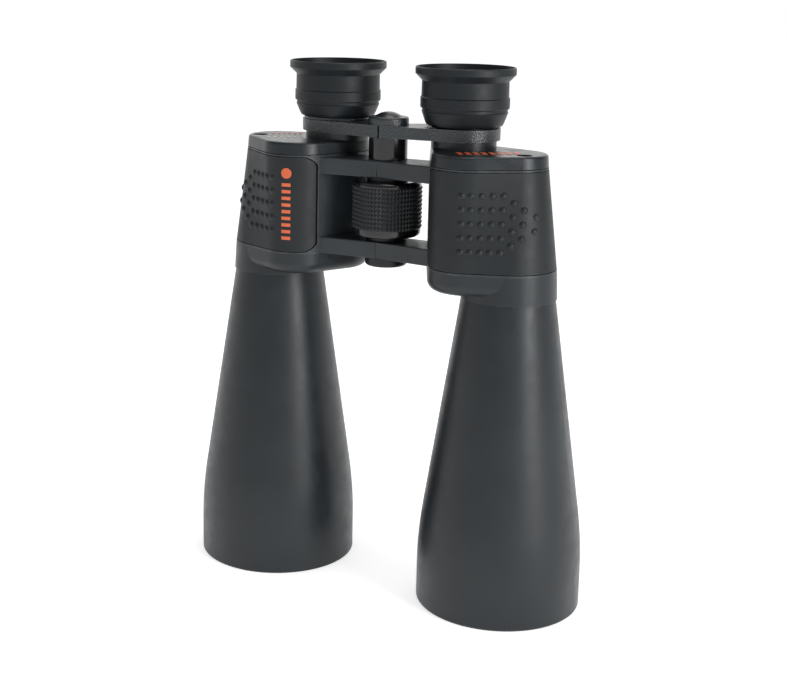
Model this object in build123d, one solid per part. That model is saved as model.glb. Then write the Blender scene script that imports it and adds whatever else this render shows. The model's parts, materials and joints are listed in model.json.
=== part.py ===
"""Large porro-prism astronomy binoculars, standing on their objective rims with the eyecups up.

Millimetres.  +Z runs along the optical axes towards the eyes.  The origin is midway between the
two objective axes on the plane the rims stand on.  -Y is the side that faces up in use, so the
user's left half is at +X and the right half at -X.
"""
import os
from math import acos, atan2, cos, degrees, hypot, radians, sin

from build123d import *

# ---- optical layout -------------------------------------------------------------------------
clear_radius = 35.0           # clear aperture of each objective
objective_x = 67.0            # objective axis to the middle plane, objective axes lie on Y = 0
eyepiece_x = 36.5             # eyepiece axis to the middle plane
eyepiece_y = 7.7
hinge_y = -4.3                # the centre hinge lies on X = 0
corner_x = 47.9               # where the beam turns between the two prisms
corner_y = -11.5
fold_angle = 50.0             # how far the right half folds about the hinge

# ---- lengths along the axes, stacked upwards from the objective rims --------------------------
barrel_length = 160.2
collar_height = 14.3          # barrel to the underside of the prism housing
housing_height = 50.9
cover_height = 6.5
bridge_rise = 4.1             # cover to the underside of the bridge arms
bridge_thickness = 6.0
eyecup_rise = 0.6             # left eyecup's foot above its bridge arm
eyecup_height = 29.4

# ---- clearances and fits --------------------------------------------------------------------
running_fit = 0.05            # radial, shafts and sliding tubes
glass_clearance = 0.05        # radial, lenses and prisms in their seats
moving_gap = 0.3              # between faces that pass each other
ring_gap = 0.15               # above and below the dioptre ring
panel_gap = 0.4               # armour to the rims above and below it

# ---- objective barrel -----------------------------------------------------------------------
rim_wall = 2.45               # barrel wall round the lens cell
barrel_rim_length = 17.8      # straight part at the rim
barrel_blend_z = 34.1         # where the straight rim and the cone would meet
barrel_rim_round = 1.0
cell_seat_z = 24.0
cell_ledge = 1.4              # width of the ledge that the lens cell stops on
cone_bore_rise = 21.0         # parallel bore above that ledge
neck_inner_radius = 20.2
spigot_wall = 1.3
spigot_shoulder = 2.0         # neck's outer step round the spigot
spigot_length = 6.5

# ---- objective glass ------------------------------------------------------------------------
lens_seat = 1.0               # glass behind the lock ring
cell_wall = 3.6
lens_flat = 1.2               # flat rim ground round each curved glass face
lens_front_z = 11.2           # front edge of the crown lens
crown_edge = 3.6
spacer_thickness = 0.8
flint_edge = 6.0
crown_sag = 2.2
flint_front_sag = 1.7
flint_back_sag = 0.8
lock_ring_height = 1.5

# ---- prism housing --------------------------------------------------------------------------
objective_lobe_low = 23.4     # outline radius over the objective axis, at the bottom
objective_lobe_high = 17.3    # and at the top
corner_lobe = 18.9
corner_lobe_x = 48.5
corner_lobe_y = -12.1
armour_thickness = 2.0
housing_wall = 1.8
armour_edge_x = 31.6          # inboard edge of the armour
armour_corner = 5.5
groove_width = 0.6
rim_lip = 0.7                 # bare rim of the casting above and below the armour
ledge_width = 1.5
ledge_height = 2.0

# ---- hinge arms -----------------------------------------------------------------------------
arm_height = 8.6
upper_arm_drop = 1.0          # upper arm below the top of the housing
arm_front_y = -16.3           # at the seam between the arms
arm_front_body_y = -19.6      # where the arm meets the body
arm_back_y = 2.0
arm_edge_round = 0.6
knuckle_wall = 2.5            # eye of each arm round the axle

# ---- grip nubs ------------------------------------------------------------------------------
nub_radius = 1.7
nub_height = 0.75
nub_root = 0.8                # how deep each nub is rooted in the armour
nub_first_x = 53.3
nub_pitch_x = 4.4
nub_rise = 25.1               # middle row above the bottom of the housing
nub_pitch_z = 6.85
nub_columns = (5, 5, 5, 5, 5, 4, 3, 2)

# ---- cover and objective plate --------------------------------------------------------------
cover_round = 1.5
cover_wall = 2.5
cover_chamfer = 0.45
cover_draft = 0.5             # how far the cover's top is drawn in
boss_wall = 1.85              # cover's boss round the eyepiece tube
boss_margin = 0.5             # housing's outline round that boss
plate_depth = 11.1
plate_round = 5.5
collar_lip = 0.7
plate_floor = 4.0

# ---- prisms and shelf -----------------------------------------------------------------------
shelf_rise = 24.5
shelf_thickness = 2.2
prism_half_width = 8.0
prism_half_length = 19.0
prism_end_trim = 1.5
prism_apex_trim = 0.8
prism_gap = 0.05              # prism face to the shelf
aperture_radius = 7.6
strap_width = 5.0
strap_thickness = 0.6
strap_foot = 3.0

# ---- screws ---------------------------------------------------------------------------------
screw_radius = 1.25
screw_head_radius = 2.3
screw_head_height = 1.4
screw_length = 7.0
screw_boss_radius = 3.3
screw_boss_height = 9.0
screw_slot = 0.7
cover_head_radius = 3.2
cover_recess_margin = 0.7     # recess round the cover screw's head
boss_overlap = 0.4            # how far the cover screw's boss runs into the wall
cover_screw_turn = -38.0      # where the screw stands, round the objective axis

# ---- eyepieces ------------------------------------------------------------------------------
tube_radius = 14.6
tube_wall = 1.1
tube_foot_gap = 0.4           # tube's lower end above the housing
tube_stand = 2.0              # tube above its bridge arm
field_lens_thickness = 5.0
field_lens_sag = 1.6
field_lens_depth = 1.0        # its lowest point above the tube's end
stop_thickness = 1.0
stop_aperture = 9.5
eye_cell_rise = 12.4
eye_cell_spigot = 8.0
eye_cell_wall = 1.1
eye_lens_thickness = 5.5
eye_lens_sag = 1.5
eyecup_neck = 7.3             # eyecup's neck outside the tube
eyecup_flare = 3.3            # rim outside the neck
eyecup_band = 0.5             # band outside the neck
eyecup_rim_height = 3.5
eyecup_foot = 2.9             # foot outside the tube
eyecup_wall = 1.5
diopter_ring_width = 2.9
diopter_ring_height = 1.0

# ---- focus bridge, wheel and hinge axle ------------------------------------------------------
bridge_ring_width = 3.7
web_inset = 8.0               # back edge of the arm, inboard of the eyepiece axis
web_ring_depth = 12.0         # and how far behind the ring's axis it starts
web_hub_depth = 4.0           # and how far behind the hinge it ends
bridge_hub_radius = 10.6
bridge_eye_step = 1.6         # hinge eye inside the hub's outline
fold_margin = 6.0             # spare angle between the folded hubs
axle_radius = 7.0
axle_wall = 2.0
post_radius = 9.9
axle_foot_gap = 0.4
focus_travel = 7.0
wheel_foot_gap = 2.4          # lower arm to the wheel
wheel_head_gap = 2.1          # wheel to the upper arm
wheel_radius = 18.2
wheel_ring_step = 0.7         # smooth end rings below the grip's surface
grip_thickness = 1.9
grip_foot = 3.9               # smooth ring below the grip
grip_head = 2.5               # and above it
wheel_round = 1.9
wheel_gap = 1.0               # wheel to the scooped inner side of each housing
nut_seat_wall = 2.8           # wheel left between the grip and the nut
nut_wall = 2.7
nut_height = 20.0
pin_radius = 1.5
pin_rise = 9.5                # cross pin above the wheel's lower end
washer_width = 3.5
washer_gap = 0.15
hub_cap_step = 0.3
hub_cap_height = 4.0
hub_cap_round = 1.2
insert_radius = 7.0
insert_rise = 2.5
insert_depth = 2.0

# ---- tripod socket --------------------------------------------------------------------------
tripod_thread_radius = 3.175
bush_length = 12.0
tripod_cap_radius = 10.8
tripod_cap_height = 4.6
tripod_cap_round = 1.4
cap_stem_length = 8.0

# ---- values that follow from the ones above --------------------------------------------------
barrel_top_z = barrel_length
housing_bottom_z = barrel_top_z + collar_height
housing_top_z = housing_bottom_z + housing_height
cover_top_z = housing_top_z + cover_height
bridge_bottom_z = cover_top_z + bridge_rise
bridge_top_z = bridge_bottom_z + bridge_thickness
eyecup_bottom_z = bridge_top_z + eyecup_rise
plate_bottom_z = housing_bottom_z - plate_depth
shelf_z = housing_bottom_z + shelf_rise
shelf_top_z = shelf_z + shelf_thickness
nub_middle_z = housing_bottom_z + nub_rise

lens_radius = clear_radius + lens_seat
cell_bore_radius = lens_radius + cell_wall
barrel_radius = cell_bore_radius + rim_wall
barrel_inner_radius = cell_bore_radius - cell_ledge
barrel_inner_z = cell_seat_z + cone_bore_rise
spigot_radius = neck_inner_radius + spigot_wall
barrel_neck_radius = spigot_radius + spigot_shoulder
collar_radius = barrel_neck_radius + collar_lip

tube_inner = tube_radius - tube_wall
tube_bottom_z = housing_top_z + tube_foot_gap
tube_top_z = bridge_top_z + tube_stand
eye_cell_top_z = tube_top_z + eye_cell_rise
eye_lens_radius = tube_inner - eye_cell_wall
eyecup_foot_radius = tube_radius + eyecup_foot
eyecup_neck_radius = tube_radius + eyecup_neck
eyecup_rim_radius = eyecup_neck_radius + eyecup_flare
eyecup_band_radius = eyecup_neck_radius + eyecup_band
diopter_ring_radius = tube_radius + diopter_ring_width
bridge_ring_radius = tube_radius + bridge_ring_width
boss_radius = tube_radius + running_fit + boss_wall
eyepiece_lobe = boss_radius + boss_margin
cover_recess_radius = cover_head_radius + cover_recess_margin

lower_arm_z = housing_bottom_z
upper_arm_z = housing_top_z - upper_arm_drop - arm_height
upper_arm_top = upper_arm_z + arm_height
wheel_bottom_z = lower_arm_z + arm_height + wheel_foot_gap
wheel_height = upper_arm_z - wheel_head_gap - wheel_bottom_z
wheel_ring_radius = wheel_radius - wheel_ring_step
wheel_core_radius = wheel_radius - grip_thickness
nut_outer_radius = wheel_core_radius - nut_seat_wall
nut_bore_radius = nut_outer_radius - nut_wall
grip_bottom_z = wheel_bottom_z + grip_foot
grip_height = wheel_height - grip_foot - grip_head
pin_z = wheel_bottom_z + pin_rise
axle_bore_radius = axle_radius - axle_wall
knuckle_radius = axle_radius + knuckle_wall
washer_radius = axle_radius + washer_width
hub_cap_radius = bridge_hub_radius - hub_cap_step
cavity_inset = armour_thickness + housing_wall

hinge = (0.0, hinge_y)
eyepiece = (eyepiece_x, eyepiece_y)
objective = (objective_x, 0.0)
corner = (corner_x, corner_y)


# ---- helpers --------------------------------------------------------------------------------
def cylinder(place, radius, z0, z1):
    """Upright cylinder between two heights."""
    centred = (Align.CENTER, Align.CENTER, Align.MIN)
    return Pos(place[0], place[1], z0) * Cylinder(radius, z1 - z0, align=centred)


def tube(place, outer, inner, z0, z1):
    return cylinder(place, outer, z0, z1) - cylinder(place, inner, z0 - 1, z1 + 1)


def block(x0, x1, y0, y1, z0, z1):
    centre = Pos((x0 + x1) / 2, (y0 + y1) / 2, (z0 + z1) / 2)
    return centre * Box(x1 - x0, y1 - y0, z1 - z0)


def turned(place, profile):
    """Body of revolution about an upright axis, from edges drawn as (radius, height)."""
    face = Plane.XZ * make_face(profile)
    return Pos(place[0], place[1], 0) * revolve(face, Axis.Z)


def outline_of(points):
    """Closed straight outline through (radius, height) points."""
    return Polyline(*points, close=True)


def lobes(z, inset=0.0):
    """The three circles whose hull is the housing's section at a height."""
    share = (z - housing_bottom_z) / (housing_top_z - housing_bottom_z)
    over_objective = objective_lobe_low + share * (objective_lobe_high - objective_lobe_low)
    return [
        (objective_x, 0.0, over_objective - inset),
        (eyepiece_x, eyepiece_y, eyepiece_lobe - inset),
        (corner_lobe_x, corner_lobe_y, corner_lobe - inset),
    ]


def tangents(circles):
    """Outer tangent of each circle to the next, anticlockwise: (normal angle, start, end)."""
    lines = []
    for first, second in zip(circles, circles[1:] + circles[:1]):
        run_x = second[0] - first[0]
        run_y = second[1] - first[1]
        lean = acos((first[2] - second[2]) / hypot(run_x, run_y))
        normal = atan2(run_y, run_x) - lean
        start = (first[0] + first[2] * cos(normal), first[1] + first[2] * sin(normal))
        end = (second[0] + second[2] * cos(normal), second[1] + second[2] * sin(normal))
        lines.append((normal, start, end))
    return lines


def hull_face(circles, z):
    """Flat face, the hull of circles, at a height."""
    lines = tangents(circles)
    edges = Curve()
    for index, circle in enumerate(circles):
        arrive = lines[index - 1][0]
        leave = lines[index][0]
        sweep = degrees(leave - arrive) % 360
        edges += CenterArc((circle[0], circle[1]), circle[2], degrees(arrive), sweep)
        edges += Line(lines[index][1], lines[index][2])
    return Pos(0, 0, z) * make_face(edges)


def wall_point(side, share, depth):
    """Point beside a flat wall of the housing, a depth in from its outer face."""
    normal, start, end = tangents(lobes(shelf_z))[side]
    x = start[0] + share * (end[0] - start[0]) - depth * cos(normal)
    y = start[1] + share * (end[1] - start[1]) - depth * sin(normal)
    return (x, y)


def tapered(inset):
    """The housing's outer form, drawn in by an inset, over its whole height."""
    low = hull_face(lobes(housing_bottom_z, inset), housing_bottom_z)
    high = hull_face(lobes(housing_top_z, inset), housing_top_z)
    return loft([low, high], ruled=True)


def lens_face(radius, z_edge, rise, flat):
    """Section of one lens face from the axis outwards: an arc and a flat rim, or all flat."""
    if rise == 0:
        return Line((0, z_edge), (radius, z_edge))
    reach = radius - flat
    sphere = (reach ** 2 + rise ** 2) / (2 * abs(rise))
    way = 1 if rise > 0 else -1
    half_way = z_edge + rise - way * (sphere - (sphere ** 2 - reach ** 2 / 4) ** 0.5)
    arc = ThreePointArc((0, z_edge + rise), (reach / 2, half_way), (reach, z_edge))
    if flat == 0:
        return Curve() + arc
    return Curve() + arc + Line((reach, z_edge), (radius, z_edge))


def lens(place, radius, z_low, z_high, low_rise, high_rise, flat=lens_flat):
    """Round lens: edge between two heights, each face's middle raised by its rise."""
    profile = Curve() + Line((0, z_low + low_rise), (0, z_high + high_rise))
    profile += Line((radius, z_low), (radius, z_high))
    profile += lens_face(radius, z_low, low_rise, flat)
    profile += lens_face(radius, z_high, high_rise, flat)
    return turned(place, profile)


def screw(place, z_head, length, head_radius, head_height):
    """Slotted cheese-head screw, head up, resting its head at a height."""
    body = cylinder(place, head_radius, z_head, z_head + head_height)
    body += cylinder(place, screw_radius, z_head - length, z_head)
    z_slot = z_head + head_height / 2
    cut = Box(2 * head_radius + 1, screw_slot, head_height)
    return body - Pos(place[0], place[1], z_slot + head_height / 2) * cut


# ---- objective end ---------------------------------------------------------------------------
def cone_radius(z):
    """Outer radius of the barrel's cone at a height."""
    slope = (barrel_radius - barrel_neck_radius) / (barrel_top_z - barrel_blend_z)
    return barrel_radius - slope * (z - barrel_blend_z)


def objective_barrel():
    blend_end = 2 * barrel_blend_z - barrel_rim_length
    spigot_top = barrel_top_z + spigot_length
    corner_round = barrel_rim_round
    outer = Curve()
    outer += Line((cell_bore_radius, 0), (barrel_radius - corner_round, 0))
    low_corner = (barrel_radius - corner_round, corner_round)
    outer += CenterArc(low_corner, corner_round, -90, 90)
    outer += Line((barrel_radius, corner_round), (barrel_radius, barrel_rim_length))
    outer += Bezier(
        (barrel_radius, barrel_rim_length),
        (barrel_radius, barrel_blend_z),
        (cone_radius(blend_end), blend_end),
    )
    outer += Line((cone_radius(blend_end), blend_end), (barrel_neck_radius, barrel_top_z))
    inner = Polyline(
        (barrel_neck_radius, barrel_top_z),
        (spigot_radius, barrel_top_z),
        (spigot_radius, spigot_top),
        (neck_inner_radius, spigot_top),
        (neck_inner_radius, barrel_top_z),
        (barrel_inner_radius, barrel_inner_z),
        (barrel_inner_radius, cell_seat_z),
        (cell_bore_radius, cell_seat_z),
        (cell_bore_radius, 0),
    )
    return turned(objective, outer + inner)


def glass_heights():
    """Edge heights of the objective's glass, from the front."""
    crown_back = lens_front_z + crown_edge
    flint_front = crown_back + spacer_thickness
    return crown_back, flint_front, flint_front + flint_edge


def objective_cell():
    shoulder = glass_heights()[2]
    front = lens_front_z - lock_ring_height
    ring = tube(objective, cell_bore_radius, lens_radius, front, cell_seat_z)
    return ring + tube(objective, lens_radius + 0.5, clear_radius, shoulder, cell_seat_z)


def objective_ring():
    front = lens_front_z - lock_ring_height
    return tube(objective, lens_radius, clear_radius, front, lens_front_z)


def crown_lens():
    crown_back = glass_heights()[0]
    radius = lens_radius - glass_clearance
    return lens(objective, radius, lens_front_z, crown_back, -crown_sag, crown_sag)


def lens_spacer():
    crown_back, flint_front, _ = glass_heights()
    radius = lens_radius - glass_clearance
    return tube(objective, radius, clear_radius, crown_back, flint_front)


def flint_lens():
    _, flint_front, flint_back = glass_heights()
    radius = lens_radius - glass_clearance
    return lens(objective, radius, flint_front, flint_back, flint_front_sag, -flint_back_sag)


def objective_plate():
    outline = hull_face(lobes(housing_bottom_z), plate_bottom_z)
    plate = extrude(outline, housing_bottom_z - plate_bottom_z)
    plate = fillet(plate.edges().group_by(Axis.Z)[0], plate_round)
    collar = turned(objective, outline_of([
        (0, barrel_top_z),
        (collar_radius, barrel_top_z),
        (objective_lobe_low, housing_bottom_z),
        (0, housing_bottom_z),
    ]))
    hollow_z = plate_bottom_z + plate_floor
    hollow = hull_face(lobes(housing_bottom_z, cavity_inset), hollow_z)
    plate = plate + collar - extrude(hollow, housing_bottom_z - hollow_z + 1)
    seat_top = barrel_top_z + spigot_length
    plate -= cylinder(objective, spigot_radius, barrel_top_z - 1, seat_top)
    return plate - cylinder(objective, neck_inner_radius, seat_top - 1, housing_bottom_z + 1)


# ---- prism housing ---------------------------------------------------------------------------
def arm_blank(z0, height):
    """Hinge arm of the left half before its knuckle is cut, from the seam into the housing."""
    seam = moving_gap / 2
    plan = Polyline(
        (seam, arm_front_y),
        (armour_edge_x, arm_front_body_y),
        (corner_x, arm_front_body_y),
        (corner_x, arm_back_y),
        (seam, arm_back_y),
        close=True,
    )
    arm = extrude(Pos(0, 0, z0) * make_face(plan), height)
    fronts = arm.edges().filter_by(Axis.Z, reverse=True).group_by(Axis.Z)
    long_front = [edge for edge in fronts[0] + fronts[-1] if edge.center().Y < arm_front_y]
    return fillet(long_front, arm_edge_round)


def knuckle(blank, z0, height, takes_upper, bore, radius, hub):
    """Give an arm its half-height eye round the hinge, and clear the other arm's eye."""
    middle = z0 + height / 2
    gap = moving_gap / 2
    if takes_upper:
        own = (middle + gap, z0 + height)
        other = (z0 - 1, middle + gap)
    else:
        own = (z0, middle - gap)
        other = (middle - gap, z0 + height + 1)
    blank = blank - cylinder(hub, radius + moving_gap, other[0], other[1])
    blank = blank + cylinder(hub, radius, own[0], own[1])
    return blank - cylinder(hub, bore, z0 - 1, z0 + height + 1)


def armour_pocket(clear):
    """Window through the housing's sides that the armour fills, drawn in by a clearance."""
    low = housing_bottom_z + rim_lip + clear
    high = housing_top_z - rim_lip - clear
    left = armour_edge_x + (groove_width if clear else 0)
    right = 2 * objective_x
    window = RectangleRounded(right - left, high - low, armour_corner - clear)
    face = Pos((left + right) / 2, 0, (low + high) / 2) * (Plane.XZ * window)
    return extrude(face, 100, both=True)


def shelf_screw_places():
    depth = cavity_inset + screw_boss_radius
    return [
        wall_point(0, 0.45, depth),
        wall_point(1, 0.95, depth),
        wall_point(2, 0.8, depth),
    ]


def cover_screw_place():
    """The cover's one screw, outboard; inboard the cover is held by its boss round the tube."""
    inward = objective_lobe_high - cavity_inset - screw_boss_radius + boss_overlap
    turn = radians(cover_screw_turn)
    return (objective_x + inward * cos(turn), inward * sin(turn))


def prism_housing(side):
    """Casting: tapered shell, prism ledge, screw bosses and both hinge arms."""
    takes_upper = side == "left"
    bore = axle_radius if takes_upper else axle_radius + running_fit
    arms = arm_blank(lower_arm_z, arm_height) + arm_blank(upper_arm_z, arm_height)
    shell = tapered(0) + arms
    shell = (shell - armour_pocket(0)) + tapered(armour_thickness)
    shell -= tapered(cavity_inset)
    relief = wheel_radius + wheel_gap
    shell -= cylinder(hinge, relief, lower_arm_z + arm_height, upper_arm_z)
    ledge_bottom = shelf_z - ledge_height
    ledge = extrude(hull_face(lobes(shelf_z, cavity_inset - 0.8), ledge_bottom), ledge_height)
    opening = hull_face(lobes(shelf_z, cavity_inset + ledge_width), ledge_bottom - 1)
    shell += ledge - extrude(opening, ledge_height + 2)
    for place in shelf_screw_places():
        shell += cylinder(place, screw_boss_radius, shelf_z - screw_boss_height, shelf_z)
        shell -= cylinder(place, screw_radius, shelf_z - screw_length - 1, shelf_z + 1)
    low = housing_top_z - screw_boss_height
    boss = cylinder(cover_screw_place(), screw_boss_radius, low, housing_top_z)
    shell += boss & tapered(armour_thickness)
    shell -= cylinder(cover_screw_place(), screw_radius, low, housing_top_z + 1)
    for z0 in (lower_arm_z, upper_arm_z):
        shell = knuckle(shell, z0, arm_height, takes_upper, bore, knuckle_radius, hinge)
    return shell


def front_face(x, z):
    """Point on the housing's outer face, on the -Y side, and the way out of it there."""
    circles = lobes(z)
    normal, start, end = tangents(circles)[2]
    for lobe, on_lobe in ((circles[0], x > end[0]), (circles[2], x < start[0])):
        if on_lobe:
            normal = -acos((x - lobe[0]) / lobe[2])
            return (x, lobe[1] + lobe[2] * sin(normal)), normal
    share = (x - start[0]) / (end[0] - start[0])
    return (x, start[1] + share * (end[1] - start[1])), normal


def nub(x, z):
    """Low dome on the armour's front, sunk so that only its cap stands out."""
    ball = (nub_radius ** 2 + nub_height ** 2) / (2 * nub_height)
    place, normal = front_face(x, z)
    sunk = ball - nub_height
    return Pos(place[0] - sunk * cos(normal), place[1] - sunk * sin(normal), z) * Sphere(ball)


def rubber_armour():
    skin = (tapered(0) - tapered(armour_thickness)) & armour_pocket(panel_gap)
    nubs = []
    for column, count in enumerate(nub_columns):
        x = nub_first_x + column * nub_pitch_x
        for row in range(count):
            z = nub_middle_z + (row - (count - 1) / 2) * nub_pitch_z
            nubs.append(nub(x, z))
    caps = Part() + nubs
    return skin + (caps - tapered(nub_root))


def eyepiece_plate():
    foot = hull_face(lobes(housing_top_z), housing_top_z)
    top = hull_face(lobes(housing_top_z, cover_draft), cover_top_z)
    plate = loft([foot, top], ruled=True)
    plate = fillet(plate.edges().group_by(Axis.Z)[-1], cover_round)
    plate = chamfer(plate.edges().group_by(Axis.Z)[0], cover_chamfer)
    hollow = extrude(hull_face(lobes(housing_top_z, cavity_inset), housing_top_z - 1),
                     cover_top_z - cover_wall - housing_top_z + 1)
    hollow -= cylinder(eyepiece, boss_radius, housing_top_z - 2, cover_top_z)
    place = cover_screw_place()
    pillar = cover_recess_radius + cover_recess_margin
    hollow -= cylinder(place, pillar, housing_top_z - 2, cover_top_z)
    plate -= hollow
    plate += cylinder(eyepiece, boss_radius, cover_top_z - 1, bridge_bottom_z - moving_gap)
    plate -= cylinder(eyepiece, tube_radius + running_fit, housing_top_z - 1, bridge_bottom_z)
    seat = cover_top_z - 2 * screw_head_height
    plate -= cylinder(place, cover_recess_radius, seat, cover_top_z + 1)
    return plate - cylinder(place, screw_radius, housing_top_z - 1, seat + 1)


def prism_shelf():
    inset = cavity_inset + glass_clearance * 4
    shelf = extrude(hull_face(lobes(shelf_top_z, inset), shelf_z), shelf_thickness)
    for place in (objective, corner, eyepiece):
        shelf -= cylinder(place, aperture_radius, shelf_z - 1, shelf_top_z + 1)
    for place in shelf_screw_places():
        shelf -= cylinder(place, screw_radius, shelf_z - 1, shelf_top_z + 1)
    return shelf


def prism_frame(start, end):
    """Plane across a prism: local X along the beam's shift, origin midway."""
    x_dir = (end[0] - start[0], end[1] - start[1], 0)
    middle = ((start[0] + end[0]) / 2, (start[1] + end[1]) / 2, 0)
    across = (x_dir[1], -x_dir[0], 0)
    return Plane(origin=middle, x_dir=x_dir, z_dir=across)


def prism(start, end, z_face, way):
    """Right-angle prism on the shelf, apex up (way 1) or down (way -1)."""
    reach = prism_half_length - prism_end_trim
    shoulder = prism_end_trim
    apex = prism_half_length - prism_apex_trim
    points = [
        (-reach, 0),
        (reach, 0),
        (reach, shoulder),
        (prism_apex_trim, apex),
        (-prism_apex_trim, apex),
        (-reach, shoulder),
    ]
    placed = [(x, z_face + way * z) for x, z in points]
    plane = prism_frame(start, end)
    return extrude(plane * make_face(outline_of(placed)), prism_half_width, both=True)


def upper_prism():
    return prism(objective, corner, shelf_top_z + prism_gap, 1)


def lower_prism():
    return prism(corner, eyepiece, shelf_z - prism_gap, -1)


def strap(start, end, z_face, way):
    """Spring strap over a prism's apex, with a foot on the shelf at each side."""
    top = prism_half_length - prism_apex_trim + prism_gap
    leg = prism_half_width + glass_clearance
    foot = leg + strap_thickness + strap_foot
    out = leg + strap_thickness
    points = [
        (-foot, 0),
        (-leg, 0),
        (-leg, top),
        (leg, top),
        (leg, 0),
        (foot, 0),
        (foot, strap_thickness),
        (out, strap_thickness),
        (out, top + strap_thickness),
        (-out, top + strap_thickness),
        (-out, strap_thickness),
        (-foot, strap_thickness),
    ]
    placed = [(x, z_face + way * z) for x, z in points]
    along = prism_frame(start, end)
    plane = Plane(origin=along.origin, x_dir=along.z_dir, z_dir=-along.x_dir)
    return extrude(plane * make_face(outline_of(placed)), strap_width / 2, both=True)


def prism_straps():
    upper = strap(objective, corner, shelf_top_z, 1)
    lower = strap(corner, eyepiece, shelf_z, -1)
    return Compound(children=[upper, lower])


def shelf_screws():
    heads = [
        screw(place, shelf_top_z, screw_length, screw_head_radius, screw_head_height)
        for place in shelf_screw_places()
    ]
    return Compound(children=heads)


def cover_screw():
    seat = cover_top_z - 2 * screw_head_height
    length = seat - housing_top_z + screw_length
    return screw(cover_screw_place(), seat, length, cover_head_radius, screw_head_height)


# ---- eyepieces -------------------------------------------------------------------------------
def field_lens_edge():
    """Edge heights of the field lens, whose curved face looks down."""
    low = tube_bottom_z + field_lens_depth + field_lens_sag
    return low, low + field_lens_thickness


def eyepiece_tube():
    sleeve = tube(eyepiece, tube_radius, tube_inner, tube_bottom_z, tube_top_z)
    seat = field_lens_edge()[1]
    return sleeve + tube(eyepiece, tube_inner + 0.5, stop_aperture + 2, seat, seat + 1.0)


def field_lens():
    radius = tube_inner - glass_clearance
    z_low, z_high = field_lens_edge()
    return lens(eyepiece, radius, z_low, z_high, -field_lens_sag, 0)


def field_stop():
    z_low = field_lens_edge()[1] + 1.0
    radius = tube_inner - glass_clearance
    return tube(eyepiece, radius, stop_aperture, z_low, z_low + stop_thickness)


def eye_cell():
    seat = tube_top_z + 0.2
    spigot_r = tube_inner - running_fit
    bore = eye_lens_radius + glass_clearance
    outer = cylinder(eyepiece, tube_radius, seat, eye_cell_top_z)
    outer += cylinder(eyepiece, spigot_r, seat - eye_cell_spigot, seat)
    outer -= cylinder(eyepiece, eye_lens_radius - 1.2, seat - eye_cell_spigot - 1, eye_cell_top_z)
    return outer - cylinder(eyepiece, bore, eye_cell_top_z - eye_lens_thickness - 1, eye_cell_top_z + 1)


def eye_lens():
    z_low = eye_cell_top_z - eye_lens_thickness - 1
    z_high = z_low + eye_lens_thickness - eye_lens_sag
    return lens(eyepiece, eye_lens_radius, z_low, z_high, 0, eye_lens_sag)


def eyecup(bottom):
    """Rubber eyecup, gripping the eye cell, hollow above it and flared at the rim."""
    top = eyecup_bottom_z + eyecup_height
    rim = top - eyecup_rim_height
    band = eyecup_bottom_z + 9.0
    lip = 0.5
    outer = [
        (tube_radius, bottom),
        (eyecup_foot_radius, bottom),
        (eyecup_foot_radius + 1.6, bottom + 0.6),
        (eyecup_foot_radius + 2.3, bottom + 1.8),
        (eyecup_neck_radius - 0.15, band - 1.8),
        (eyecup_neck_radius - 0.45, band - 1.3),
        (eyecup_neck_radius - 0.45, band - 0.1),
        (eyecup_band_radius - 0.25, band),
        (eyecup_band_radius, band + 0.5),
        (eyecup_band_radius, band + 5.2),
        (eyecup_neck_radius, band + 5.7),
        (eyecup_neck_radius - 0.1, rim - 3.4),
        (eyecup_rim_radius, rim),
        (eyecup_rim_radius, top - lip),
        (eyecup_rim_radius - lip, top),
    ]
    inner = [
        (eyecup_rim_radius - lip - 0.6, top),
        (eyecup_rim_radius - eyecup_wall, rim + 0.6),
        (eyecup_neck_radius - eyecup_wall - 0.2, rim - 3.2),
        (eyecup_neck_radius - eyecup_wall - 0.2, eye_cell_top_z + 0.8),
        (tube_radius, eye_cell_top_z),
    ]
    return turned(eyepiece, outline_of(outer + inner))


def diopter_ring():
    low = bridge_top_z + ring_gap
    bore = tube_radius + running_fit
    return tube(eyepiece, diopter_ring_radius, bore, low, low + diopter_ring_height)


# ---- focus bridge ----------------------------------------------------------------------------
def fold_relief():
    """Wedge behind the hinge that both hubs leave free, so that the halves can fold."""
    half = radians(fold_angle / 2 + fold_margin / 2)
    reach = 2 * bridge_hub_radius
    across = reach * sin(half)
    back = hinge_y + reach * cos(half)
    plan = Polyline(hinge, (across, back), (-across, back), close=True)
    return extrude(Pos(0, 0, bridge_bottom_z) * make_face(plan), bridge_thickness)


def bridge_arm(side):
    """Arm from the centre hub to one eyepiece ring."""
    takes_upper = side == "left"
    seam = moving_gap / 2 if takes_upper else 3 * moving_gap
    ring = (eyepiece_x, eyepiece_y, bridge_ring_radius)
    hub = (hinge[0], hinge[1], bridge_hub_radius)
    hub_touch, ring_touch = tangents([hub, ring])[0][1:]
    plan = Polyline(
        hub_touch,
        ring_touch,
        (eyepiece_x, eyepiece_y),
        (eyepiece_x - web_inset, eyepiece_y + web_ring_depth),
        (0, hinge_y + web_hub_depth),
        close=True,
    )
    web = extrude(Pos(0, 0, bridge_bottom_z) * make_face(plan), bridge_thickness)
    arm = web + cylinder(hinge, bridge_hub_radius, bridge_bottom_z, bridge_top_z)
    arm -= fold_relief()
    arm &= block(seam, 100, -100, 100, bridge_bottom_z - 1, bridge_top_z + 1)
    arm += cylinder(eyepiece, bridge_ring_radius, bridge_bottom_z, bridge_top_z)
    arm -= cylinder(eyepiece, tube_radius, bridge_bottom_z - 1, bridge_top_z + 1)
    bore = axle_bore_radius - running_fit if takes_upper else axle_bore_radius
    eye = bridge_hub_radius - bridge_eye_step
    return knuckle(arm, bridge_bottom_z, bridge_thickness, takes_upper, bore, eye, hinge)


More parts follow.
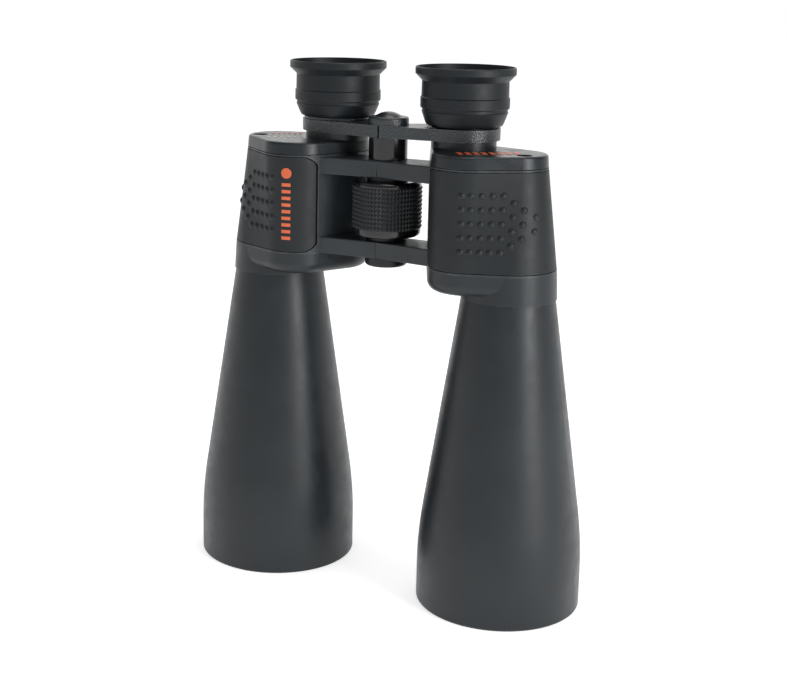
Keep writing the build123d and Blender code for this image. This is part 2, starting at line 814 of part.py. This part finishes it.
def focus_rod():
    low = pin_z - 5.0
    rod = cylinder(hinge, axle_bore_radius - running_fit, low, bridge_top_z)
    hole = Pos(0, hinge_y, pin_z) * Rot(0, 90, 0) * Cylinder(pin_radius, 40)
    return rod - hole


def cross_pin():
    length = 2 * (nut_bore_radius - moving_gap)
    return Pos(0, hinge_y, pin_z) * Rot(0, 90, 0) * Cylinder(pin_radius, length)


def hub_cap():
    cap = cylinder(hinge, hub_cap_radius, bridge_top_z, bridge_top_z + hub_cap_height)
    cap = fillet(cap.edges().group_by(Axis.Z)[-1], hub_cap_round)
    recess = bridge_top_z + hub_cap_height - insert_depth
    return cap - cylinder(hinge, insert_radius, recess, recess + 10)


def hub_insert():
    top = bridge_top_z + hub_cap_height
    return lens(hinge, insert_radius, top - insert_depth, top, 0, insert_rise, flat=0)


# ---- hinge axle, focus wheel and tripod socket -----------------------------------------------
def hinge_axle():
    foot = lower_arm_z + axle_foot_gap
    top = bridge_bottom_z - moving_gap
    neck = upper_arm_top + moving_gap
    axle = cylinder(hinge, axle_radius, foot, neck)
    axle += cylinder(hinge, post_radius, neck, top)
    axle -= cylinder(hinge, axle_bore_radius, foot - 1, top + 1)
    slot_low = pin_z - pin_radius - running_fit
    slot_high = pin_z + focus_travel + pin_radius + 0.4
    half = pin_radius + running_fit
    return axle - block(-20, 20, hinge_y - half, hinge_y + half, slot_low, slot_high)


def focus_wheel():
    top = wheel_bottom_z + wheel_height
    grip_top = grip_bottom_z + grip_height
    low = cylinder(hinge, wheel_ring_radius, wheel_bottom_z, grip_bottom_z)
    low = fillet(low.edges().group_by(Axis.Z)[0], wheel_round)
    high = cylinder(hinge, wheel_ring_radius, grip_top, top)
    high = fillet(high.edges().group_by(Axis.Z)[-1], wheel_round)
    core = low + high + cylinder(hinge, wheel_core_radius, grip_bottom_z - 1, grip_top + 1)
    middle = (wheel_bottom_z + top) / 2
    core -= cylinder(hinge, nut_outer_radius, middle - nut_height / 2, middle + nut_height / 2)
    return core - cylinder(hinge, axle_radius + running_fit, wheel_bottom_z - 1, top + 1)


def wheel_grip():
    grip_top = grip_bottom_z + grip_height
    return tube(hinge, wheel_radius, wheel_core_radius, grip_bottom_z, grip_top)


def focus_nut():
    middle = wheel_bottom_z + wheel_height / 2
    half = nut_height / 2
    return tube(hinge, nut_outer_radius, nut_bore_radius, middle - half, middle + half)


def thrust_washers():
    bore = axle_radius
    low = tube(hinge, washer_radius, bore, lower_arm_z + arm_height + washer_gap,
               wheel_bottom_z - washer_gap)
    high = tube(hinge, washer_radius, bore, wheel_bottom_z + wheel_height + washer_gap,
                upper_arm_z - washer_gap)
    return Compound(children=[low, high])


def tripod_bush():
    low = lower_arm_z + axle_foot_gap
    return tube(hinge, axle_bore_radius, tripod_thread_radius, low, low + bush_length)


def tripod_cap():
    top = lower_arm_z - moving_gap
    cap = cylinder(hinge, tripod_cap_radius, top - tripod_cap_height, top)
    cap = fillet(cap.edges().group_by(Axis.Z)[0], tripod_cap_round)
    stem = tripod_thread_radius - running_fit
    return cap + cylinder(hinge, stem, top - 1, top + cap_stem_length)


# ---- output ----------------------------------------------------------------------------------
def write(shape, name, mirrored=False):
    if mirrored:
        shape = mirror(shape, about=Plane.YZ)
    export_step(shape, f"parts/{name}.step")


SAME_EACH_SIDE = {
    "objective_barrel": objective_barrel,
    "objective_cell": objective_cell,
    "objective_ring": objective_ring,
    "crown_lens": crown_lens,
    "lens_spacer": lens_spacer,
    "flint_lens": flint_lens,
    "objective_plate": objective_plate,
    "rubber_armour": rubber_armour,
    "eyepiece_plate": eyepiece_plate,
    "prism_shelf": prism_shelf,
    "upper_prism": upper_prism,
    "lower_prism": lower_prism,
    "prism_straps": prism_straps,
    "shelf_screws": shelf_screws,
    "cover_screw": cover_screw,
    "eyepiece_tube": eyepiece_tube,
    "field_lens": field_lens,
    "field_stop": field_stop,
    "eye_cell": eye_cell,
    "eye_lens": eye_lens,
}
CENTRE = {
    "focus_rod": focus_rod,
    "cross_pin": cross_pin,
    "hub_cap": hub_cap,
    "hub_insert": hub_insert,
    "hinge_axle": hinge_axle,
    "focus_wheel": focus_wheel,
    "wheel_grip": wheel_grip,
    "focus_nut": focus_nut,
    "thrust_washers": thrust_washers,
    "tripod_bush": tripod_bush,
    "tripod_cap": tripod_cap,
}

os.makedirs("parts", exist_ok=True)
for node, make in SAME_EACH_SIDE.items():
    piece = make()
    write(piece, "left_" + node)
    write(piece, "right_" + node, mirrored=True)
for side in ("left", "right"):
    on_right = side == "right"
    write(prism_housing(side), side + "_prism_housing", on_right)
    write(bridge_arm(side), side + "_bridge_arm", on_right)
    ring_room = diopter_ring_height + 2 * ring_gap if on_right else eyecup_rise
    write(eyecup(bridge_top_z + ring_room), side + "_eyecup", on_right)
write(diopter_ring(), "diopter_ring", True)
for node, make in CENTRE.items():
    write(make(), node)
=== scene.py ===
"""Looks for the astronomy binoculars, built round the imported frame."""
import json
from math import cos, pi, radians, sin

import bpy
from mathutils import Matrix, Vector


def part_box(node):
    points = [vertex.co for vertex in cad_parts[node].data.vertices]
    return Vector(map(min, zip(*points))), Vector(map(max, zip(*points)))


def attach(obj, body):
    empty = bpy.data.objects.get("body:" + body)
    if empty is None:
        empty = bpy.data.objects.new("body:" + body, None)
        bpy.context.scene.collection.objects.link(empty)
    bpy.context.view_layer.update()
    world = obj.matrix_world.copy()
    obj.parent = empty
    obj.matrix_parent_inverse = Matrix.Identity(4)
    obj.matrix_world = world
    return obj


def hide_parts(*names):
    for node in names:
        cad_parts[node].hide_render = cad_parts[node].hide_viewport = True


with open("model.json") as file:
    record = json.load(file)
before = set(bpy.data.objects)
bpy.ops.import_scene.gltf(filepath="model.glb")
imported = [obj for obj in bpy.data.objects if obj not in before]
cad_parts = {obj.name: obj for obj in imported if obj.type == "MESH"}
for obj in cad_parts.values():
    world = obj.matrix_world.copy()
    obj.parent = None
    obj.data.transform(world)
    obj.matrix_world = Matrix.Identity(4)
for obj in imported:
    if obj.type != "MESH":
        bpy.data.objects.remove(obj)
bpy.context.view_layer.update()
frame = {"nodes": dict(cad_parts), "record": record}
nodes = frame["nodes"]
MM = 0.001

camera_place = (0.3271, -0.6351, 0.3167)
camera_turn = 28.622              # degrees about the vertical
camera_tilt = 90 - 11.72          # looks down by this much short of level
camera_roll = 0.979
floor_size = 14
floor_tone = 0.86
floor_glow = 0.60
studio_level = 0.40               # even part of the surroundings' light
key_power = 10.5
top_power = 4.0

grip_columns = 60
grip_rows = 10
grip_groove = 0.70 * MM           # depth of the cuts between the grip's points
grip_point = 0.66 * MM            # height of each point above its cut
grip_edge = 1.4 * MM
mark_thickness = 0.12 * MM
mark_lift = 0.03 * MM             # inlay's underside above the surface it lies on
mark_search = 8 * MM              # how far a sheet looks for the surface
mark_front = -34.0 * MM           # plane in front of the armour that its marks start from
dot_radius = 2.7 * MM
# width of the lighter edge band, partly rubbed wear and partly painted highlight
wear_and_highlight_width = 0.5 * MM


# ---- camera, floor and light ------------------------------------------------------------------
def make_camera():
    data = bpy.data.cameras.new("camera")
    data.sensor_width = 36.0
    data.lens = 64.19
    data.shift_x = 0.0469
    data.shift_y = -0.1035
    data.clip_start = 0.05
    data.clip_end = 50.0
    camera = bpy.data.objects.new("camera", data)
    bpy.context.scene.collection.objects.link(camera)
    turn = Matrix.Rotation(radians(camera_turn), 4, "Z")
    tilt = Matrix.Rotation(radians(camera_tilt), 4, "X")
    roll = Matrix.Rotation(radians(camera_roll), 4, "Z")
    camera.matrix_world = Matrix.Translation(camera_place) @ turn @ tilt @ roll
    bpy.context.scene.camera = camera


def area_light(name, place, aim, size, power):
    data = bpy.data.lights.new(name, "AREA")
    data.shape = "RECTANGLE"
    data.size = size[0]
    data.size_y = size[1]
    data.energy = power
    light = bpy.data.objects.new(name, data)
    bpy.context.scene.collection.objects.link(light)
    light.location = place
    light.rotation_euler = (Vector(aim) - Vector(place)).to_track_quat("-Z", "Y").to_euler()


def glow_towards(tree, source, compass, low, high, change):
    """Part of the studio's light that comes from one side, by the direction it comes from."""
    way = tree.nodes.new("ShaderNodeVectorMath")
    way.operation = "DOT_PRODUCT"
    way.inputs[1].default_value = (cos(radians(compass)), sin(radians(compass)), 0)
    tree.links.new(source, way.inputs[0])
    part = tree.nodes.new("ShaderNodeMapRange")
    part.interpolation_type = "SMOOTHSTEP"
    part.inputs["From Min"].default_value = low
    part.inputs["From Max"].default_value = high
    part.inputs["To Min"].default_value = 0.0
    part.inputs["To Max"].default_value = change
    tree.links.new(way.outputs["Value"], part.inputs["Value"])
    return part.outputs["Result"]


def make_studio():
    """White surroundings, brighter behind the object and darker past the key light."""
    world = bpy.data.worlds.new("studio")
    bpy.context.scene.world = world
    world.use_nodes = True
    tree = world.node_tree
    place = tree.nodes.new("ShaderNodeTexCoord").outputs["Generated"]
    behind = glow_towards(tree, place, 117, 0.30, 0.9, 0.85)
    beside = glow_towards(tree, place, 38, 0.72, 0.97, -0.34)
    both = tree.nodes.new("ShaderNodeMath")
    both.operation = "ADD"
    tree.links.new(behind, both.inputs[0])
    tree.links.new(beside, both.inputs[1])
    level = tree.nodes.new("ShaderNodeMath")
    level.operation = "ADD"
    level.inputs[1].default_value = studio_level
    tree.links.new(both.outputs["Value"], level.inputs[0])
    lit = tree.nodes["Background"]
    tree.links.new(level.outputs["Value"], lit.inputs["Strength"])
    lit.inputs["Color"].default_value = (1, 1, 1, 1)
    seen = tree.nodes.new("ShaderNodeBackground")
    seen.inputs["Color"].default_value = (1, 1, 1, 1)
    path = tree.nodes.new("ShaderNodeLightPath")
    mix = tree.nodes.new("ShaderNodeMixShader")
    tree.links.new(path.outputs["Is Camera Ray"], mix.inputs["Fac"])
    tree.links.new(lit.outputs["Background"], mix.inputs[1])
    tree.links.new(seen.outputs["Background"], mix.inputs[2])
    tree.links.new(mix.outputs["Shader"], tree.nodes["World Output"].inputs["Surface"])


def make_stage():
    bpy.ops.object.select_all(action="DESELECT")
    bpy.ops.mesh.primitive_plane_add(size=floor_size, location=(0, 0, 0))
    floor = bpy.context.active_object
    floor.name = "floor"
    material = bpy.data.materials.new("pale_floor")
    material.use_nodes = True
    shader = material.node_tree.nodes["Principled BSDF"]
    shader.inputs["Base Color"].default_value = (floor_tone, floor_tone, floor_tone, 1)
    shader.inputs["Roughness"].default_value = 0.9
    shader.inputs["Specular IOR Level"].default_value = 0.0
    shader.inputs["Emission Color"].default_value = (1, 1, 1, 1)
    shader.inputs["Emission Strength"].default_value = floor_glow
    floor.data.materials.append(material)
    make_studio()
    area_light("key", (1.2, -0.34, 0.52), (0.0, 0.0, 0.15), (0.42, 0.95), key_power)
    area_light("top", (0.1, 0.1, 1.5), (0.0, 0.0, 0.2), (0.8, 0.6), top_power)
    bpy.context.scene.view_settings.view_transform = "Standard"


# ---- materials --------------------------------------------------------------------------------
def new_material(name):
    material = bpy.data.materials.new(name)
    material.use_nodes = True
    tree = material.node_tree
    return material, tree, tree.nodes["Principled BSDF"]


def noise(tree, scale, detail=3.0, rough=0.5, stretch=None):
    place = tree.nodes.new("ShaderNodeTexCoord").outputs["Object"]
    if stretch:
        along = tree.nodes.new("ShaderNodeMapping")
        along.inputs["Scale"].default_value = stretch
        tree.links.new(place, along.inputs["Vector"])
        place = along.outputs["Vector"]
    node = tree.nodes.new("ShaderNodeTexNoise")
    node.inputs["Scale"].default_value = scale
    node.inputs["Detail"].default_value = detail
    node.inputs["Roughness"].default_value = rough
    tree.links.new(place, node.inputs["Vector"])
    return node.outputs["Fac"]


def cells(tree, scale):
    """Rounded grains, as in crinkle paint: distance to the nearest cell centre."""
    place = tree.nodes.new("ShaderNodeTexCoord").outputs["Object"]
    node = tree.nodes.new("ShaderNodeTexVoronoi")
    node.feature = "SMOOTH_F1"
    node.inputs["Scale"].default_value = scale
    node.inputs["Smoothness"].default_value = 0.5
    tree.links.new(place, node.inputs["Vector"])
    return node.outputs["Distance"]


def spread(tree, source, low, high, out_low, out_high):
    node = tree.nodes.new("ShaderNodeMapRange")
    node.inputs["From Min"].default_value = low
    node.inputs["From Max"].default_value = high
    node.inputs["To Min"].default_value = out_low
    node.inputs["To Max"].default_value = out_high
    tree.links.new(source, node.inputs["Value"])
    return node.outputs["Result"]


def blend_colours(tree, factor, first, second):
    """Mix two colours, each given as numbers or as another node's colour."""
    node = tree.nodes.new("ShaderNodeMix")
    node.data_type = "RGBA"
    for socket, colour in (("A", first), ("B", second)):
        if isinstance(colour, tuple):
            node.inputs[socket].default_value = (*colour, 1)
        else:
            tree.links.new(colour, node.inputs[socket])
    tree.links.new(factor, node.inputs["Factor"])
    return node.outputs["Result"]


def bump(tree, height, strength, distance, under=None):
    node = tree.nodes.new("ShaderNodeBump")
    node.inputs["Strength"].default_value = strength
    node.inputs["Distance"].default_value = distance
    tree.links.new(height, node.inputs["Height"])
    if under:
        tree.links.new(under, node.inputs["Normal"])
    return node.outputs["Normal"]


def edge_wear_and_highlight(tree, width):
    """How near a point is to a sharp edge, broken up so that it comes and goes: the lighter edge
    colour is partly rubbed wear and partly a painted highlight along the edges.
    """
    rounded = tree.nodes.new("ShaderNodeBevel")
    rounded.samples = 4
    rounded.inputs["Radius"].default_value = width
    shape = tree.nodes.new("ShaderNodeNewGeometry")
    turn = tree.nodes.new("ShaderNodeVectorMath")
    turn.operation = "DOT_PRODUCT"
    tree.links.new(rounded.outputs["Normal"], turn.inputs[0])
    tree.links.new(shape.outputs["Normal"], turn.inputs[1])
    edge = spread(tree, turn.outputs["Value"], 0.985, 0.80, 0.0, 1.0)
    patches = spread(tree, noise(tree, 130.0, 3.0), 0.42, 0.66, 0.15, 1.0)
    both = tree.nodes.new("ShaderNodeMath")
    both.operation = "MULTIPLY"
    tree.links.new(edge, both.inputs[0])
    tree.links.new(patches, both.inputs[1])
    return both.outputs["Value"]


def coated(name, dark, light, rough, grain, depth, wear_and_highlight_colour=None, coarse=None, specular=0.5):
    """Paint, rubber or moulding: cloudy tone, uneven gloss, fine grain, and edges lightened partly
    as rubbed wear and partly as a painted highlight.
    """
    material, tree, shader = new_material(name)
    tone = spread(tree, noise(tree, 38.0, 4.0), 0.32, 0.68, 0.0, 1.0)
    colour = blend_colours(tree, tone, dark, light)
    if wear_and_highlight_colour:
        # lighter colour along sharp edges: partly rubbed wear, partly a painted highlight where
        # light would catch rounded edges
        colour = blend_colours(tree, edge_wear_and_highlight(tree, wear_and_highlight_width), colour, wear_and_highlight_colour)
    tree.links.new(colour, shader.inputs["Base Color"])
    gloss = spread(tree, noise(tree, 150.0, 4.0), 0.3, 0.7, rough - 0.05, rough + 0.06)
    tree.links.new(gloss, shader.inputs["Roughness"])
    normal = None
    if coarse:
        normal = bump(tree, cells(tree, coarse[0]), 1.0, coarse[1])
    normal = bump(tree, noise(tree, grain, 3.0, 0.6), 1.0, depth, normal)
    tree.links.new(normal, shader.inputs["Normal"])
    shader.inputs["Specular IOR Level"].default_value = specular
    return material


def metal(name, colour, rough, brushed):
    """Bare machined metal with fine turning marks."""
    material, tree, shader = new_material(name)
    marks = noise(tree, 900.0, 3.0, 0.6, brushed)
    dark = tuple(0.8 * part for part in colour)
    tree.links.new(blend_colours(tree, marks, dark, colour), shader.inputs["Base Color"])
    tree.links.new(spread(tree, marks, 0.3, 0.7, rough - 0.08, rough + 0.08),
                   shader.inputs["Roughness"])
    tree.links.new(bump(tree, marks, 1.0, 0.000006), shader.inputs["Normal"])
    shader.inputs["Metallic"].default_value = 1.0
    return material


def glass(name, tint, coat_tint):
    material, tree, shader = new_material(name)
    dust = spread(tree, noise(tree, 400.0, 5.0, 0.7), 0.55, 0.8, 0.01, 0.09)
    tree.links.new(dust, shader.inputs["Roughness"])
    shader.inputs["Base Color"].default_value = (*tint, 1)
    shader.inputs["Transmission Weight"].default_value = 1.0
    shader.inputs["IOR"].default_value = 1.52
    shader.inputs["Specular Tint"].default_value = (*coat_tint, 1)
    return material


def coat_node(name, material):
    mesh = nodes[name].data
    mesh.materials.clear()
    mesh.materials.append(material)


def make_materials():
    m = {}
    # each material's edge colour below lightens sharp edges: partly rubbed wear, partly painted
    # highlight
    m["paint"] = coated("charcoal_paint", (0.007, 0.0105, 0.0135), (0.011, 0.0155, 0.019), 0.39,
                        2300, 0.000018, wear_and_highlight_colour=(0.07, 0.078, 0.084), specular=0.45)
    m["cover"] = coated("cover_paint", (0.008, 0.0110, 0.0135), (0.012, 0.0160, 0.019), 0.32,
                        2300, 0.000014, wear_and_highlight_colour=(0.08, 0.088, 0.094), specular=0.42)
    m["casting"] = coated("casting_paint", (0.012, 0.0165, 0.020), (0.018, 0.024, 0.028), 0.40,
                          2300, 0.000018, wear_and_highlight_colour=(0.10, 0.11, 0.12), coarse=(1500, 0.00005))
    m["armour"] = coated("armour_rubber", (0.0065, 0.0090, 0.0110), (0.010, 0.0132, 0.0155), 0.48,
                         2800, 0.000022, wear_and_highlight_colour=(0.035, 0.040, 0.044), coarse=(3000, 0.00001),
                         specular=0.36)
    m["crinkle"] = coated("crinkle_paint", (0.014, 0.0185, 0.022), (0.024, 0.030, 0.034), 0.30,
                          2600, 0.00003, wear_and_highlight_colour=(0.14, 0.15, 0.157), coarse=(1300, 0.00016),
                          specular=0.62)
    m["eyecup"] = coated("eyecup_rubber", (0.004, 0.0065, 0.0085), (0.007, 0.010, 0.0125), 0.47,
                         2600, 0.00002, wear_and_highlight_colour=(0.025, 0.029, 0.033), specular=0.33)
    m["insert"] = coated("hub_insert_gloss", (0.010, 0.010, 0.011), (0.015, 0.015, 0.016), 0.24,
                         700, 0.000003, wear_and_highlight_colour=(0.06, 0.062, 0.065), specular=0.6)
    m["gloss"] = coated("gloss_black", (0.003, 0.003, 0.005), (0.005, 0.005, 0.007), 0.15,
                        700, 0.000003, wear_and_highlight_colour=(0.05, 0.052, 0.055), specular=0.6)
    m["wheel"] = coated("wheel_rubber", (0.004, 0.005, 0.006), (0.007, 0.0085, 0.010), 0.42,
                        2800, 0.000012, wear_and_highlight_colour=(0.022, 0.024, 0.027), specular=0.42)
    m["moulded"] = coated("moulded_black", (0.006, 0.0075, 0.009), (0.010, 0.012, 0.014), 0.38,
                          2400, 0.000015, wear_and_highlight_colour=(0.05, 0.054, 0.058), specular=0.4)
    m["anodised"] = coated("black_anodised", (0.005, 0.005, 0.006), (0.009, 0.009, 0.010), 0.48,
                           3000, 0.00001)
    m["steel"] = metal("plain_steel", (0.52, 0.52, 0.54), 0.30, (1, 1, 8))
    m["brass"] = metal("brass", (0.72, 0.53, 0.24), 0.28, (1, 1, 8))
    m["lens"] = glass("coated_glass", (0.90, 0.88, 0.94), (0.74, 0.62, 0.92))
    m["prism"] = glass("prism_glass", (0.93, 0.96, 0.96), (1, 1, 1))
    m["accent"] = coated("orange_ink", (0.62, 0.105, 0.032), (0.70, 0.140, 0.050), 0.45,
                         2400, 0.00001)
    m["pale"] = coated("pale_ink", (0.52, 0.50, 0.47), (0.62, 0.60, 0.57), 0.5, 2400, 0.00001)
    return m


def coat_frame(m):
    by_slot = {
        "painted_casting": "paint",
        "armour_rubber": "armour",
        "black_anodised": "anodised",
        "coated_glass": "lens",
        "prism_glass": "prism",
        "spring_steel": "steel",
        "screw_steel": "steel",
        "black_screws": "anodised",
        "moulded_black": "moulded",
        "crinkle_paint": "crinkle",
        "eyecup_rubber": "eyecup",
        "gloss_black": "gloss",
        "wheel_rubber": "wheel",
        "brass": "brass",
        "washer_plastic": "moulded",
        "axle_steel": "steel",
        "ring_metal": "crinkle",
    }
    for entry in frame["record"]["subparts"]:
        coat_node(entry["node"], m[by_slot[entry["material_slot"]]])
    for side in ("left", "right"):
        coat_node(side + "_prism_housing", m["casting"])
        coat_node(side + "_eyepiece_plate", m["cover"])
    coat_node("hub_insert", m["insert"])


# ---- modelling helpers ------------------------------------------------------------------------
def start(name, add, **settings):
    """Add a primitive with nothing else selected, and name it."""
    if bpy.context.mode != "OBJECT":
        bpy.ops.object.mode_set(mode="OBJECT")
    bpy.ops.object.select_all(action="DESELECT")
    add(**settings)
    piece = bpy.context.active_object
    piece.name = name
    piece.data.name = name
    bpy.ops.object.transform_apply(location=True, rotation=True, scale=True)
    return piece


def finish(piece, material, body):
    bpy.ops.object.mode_set(mode="OBJECT")
    piece.data.materials.clear()
    piece.data.materials.append(material)
    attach(piece, body)


def pick_faces(piece, test):
    """Select the faces whose centre and normal pass a test, then go to edit mode."""
    bpy.ops.object.mode_set(mode="OBJECT")
    for vertex in piece.data.vertices:
        vertex.select = False
    for edge in piece.data.edges:
        edge.select = False
    for face in piece.data.polygons:
        face.select = test(face.center, face.normal)
    bpy.ops.object.mode_set(mode="EDIT")
    bpy.ops.mesh.select_mode(type="FACE")


# ---- focus wheel's knurled grip ---------------------------------------------------------------
def knurled_grip(m):
    low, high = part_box("wheel_grip")
    centre = ((low[0] + high[0]) / 2, (low[1] + high[1]) / 2)
    tip_radius = (high[0] - low[0]) / 2
    root_radius = tip_radius - grip_groove
    piece = start("knurled_grip", bpy.ops.mesh.primitive_cylinder_add, vertices=grip_columns,
                  radius=root_radius / cos(pi / grip_columns), depth=high[2] - low[2],
                  location=(*centre, (low[2] + high[2]) / 2))
    bpy.ops.object.mode_set(mode="EDIT")
    for row in range(1, grip_rows):
        z = low[2] + (high[2] - low[2]) * row / grip_rows
        bpy.ops.mesh.select_all(action="SELECT")
        bpy.ops.mesh.bisect(plane_co=(0, 0, z), plane_no=(0, 0, 1))
    pick_faces(piece, lambda middle, normal: abs(normal.z) < 0.5)
    bpy.ops.mesh.poke(offset=grip_point)
    pick_faces(piece, lambda middle, normal: abs(normal.z) > 0.95)
    bpy.ops.mesh.inset(thickness=grip_edge)
    finish(piece, m["wheel"], "wheel")
    bpy.ops.object.shade_flat()
    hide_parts("wheel_grip")


# ---- orange marks on the armour and the covers ------------------------------------------------
def dash_at(name, centre, long, wide, turn, facing):
    """Flat dash lying in a plane, divided so that it can follow a curved surface."""
    piece = start(name, bpy.ops.mesh.primitive_grid_add, x_subdivisions=6, y_subdivisions=6,
                  size=1)
    piece.scale = (long, wide, 1)
    piece.rotation_euler = (pi / 2, 0, 0) if facing == "Y" else (0, 0, turn)
    piece.location = centre
    bpy.ops.object.transform_apply(location=True, rotation=True, scale=True)
    return piece


def disc_at(name, centre, radius, facing):
    """Round sheet with a ring of faces inside it, facing along an axis."""
    turn = (pi / 2, 0, 0) if facing == "Y" else (0, 0, 0)
    piece = start(name, bpy.ops.mesh.primitive_circle_add, vertices=40, radius=radius,
                  fill_type="NGON", location=centre, rotation=turn)
    bpy.ops.object.mode_set(mode="EDIT")
    bpy.ops.mesh.select_all(action="SELECT")
    bpy.ops.mesh.inset(thickness=0.4 * radius)
    bpy.ops.mesh.inset(thickness=0.4 * radius)
    bpy.ops.mesh.poke()
    bpy.ops.object.mode_set(mode="OBJECT")
    return piece


def join(name, pieces):
    bpy.ops.object.select_all(action="DESELECT")
    for piece in pieces:
        piece.select_set(True)
    bpy.context.view_layer.objects.active = pieces[0]
    bpy.ops.object.join()
    pieces[0].name = name
    pieces[0].data.name = name
    return pieces[0]


def lay_on(piece, node, facing):
    """Press a sheet onto a node's surface and give it the thickness of an inlay."""
    wrap = piece.modifiers.new("wrap", "SHRINKWRAP")
    wrap.wrap_method = "PROJECT"
    wrap.target = nodes[node]
    wrap.use_project_y = facing == "Y"
    wrap.use_project_z = facing == "Z"
    wrap.use_negative_direction = True
    wrap.use_positive_direction = True
    wrap.project_limit = mark_search
    wrap.offset = mark_lift
    skin = piece.modifiers.new("skin", "SOLIDIFY")
    skin.thickness = mark_thickness
    skin.offset = 1.0
    bpy.context.view_layer.objects.active = piece
    for modifier in ("wrap", "skin"):
        bpy.ops.object.modifier_apply(modifier=modifier)


def row_of_dashes(name, first, last, dash, count, turn, facing):
    """Model one dash, then copy it at even steps along a line."""
    step = (last - first) / (count - 1)
    pieces = [dash_at(name, first, dash[0], dash[1], turn, facing)]
    for number in range(1, count):
        copy = pieces[0].copy()
        copy.data = pieces[0].data.copy()
        bpy.context.scene.collection.objects.link(copy)
        copy.data.transform(Matrix.Translation(step * number))
        pieces.append(copy)
    return pieces


def armour_marks(m):
    """A dot and a column of dashes down the front of the right half's armour."""
    out = mark_front
    dot = disc_at("dot", (-44.5 * MM, out, 216.2 * MM), dot_radius, "Y")
    dashes = row_of_dashes("dash", Vector((-44.6 * MM, out, 210.2 * MM)),
                           Vector((-44.6 * MM, out, 182.6 * MM)), (4.7 * MM, 1.7 * MM), 9, 0, "Y")
    piece = join("armour_marks", [dot] + dashes)
    lay_on(piece, "right_rubber_armour", "Y")
    finish(piece, m["accent"], "right_half")


def cover_marks(m, name, ink, side, first, last, dash, count):
    """A row of short bars across an eyepiece plate."""
    node = side + "_eyepiece_plate"
    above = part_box(node)[1][2] + 2 * MM
    first = Vector((first[0] * MM, first[1] * MM, above))
    last = Vector((last[0] * MM, last[1] * MM, above))
    turn = (last - first).xy.angle_signed(Vector((1, 0)))
    bars = row_of_dashes(name + "_bar", first, last, (dash[0] * MM, dash[1] * MM), count, turn, "Z")
    piece = join(name, bars)
    lay_on(piece, node, "Z")
    finish(piece, m[ink], side + "_half")


def make_marks(m):
    armour_marks(m)
    cover_marks(m, "left_title_marks", "accent", "left", (46, -18), (69, -1.5), (2.3, 8.0), 8)
    cover_marks(m, "right_title_marks", "accent", "right", (-71.6, 0.2), (-60.0, 9.0),
                (1.5, 4.4), 6)
    cover_marks(m, "right_number_marks", "pale", "right", (-65.0, -14.8), (-51.5, -4.6),
                (1.5, 5.2), 6)


make_camera()
make_stage()
materials = make_materials()
coat_frame(materials)
knurled_grip(materials)
make_marks(materials)
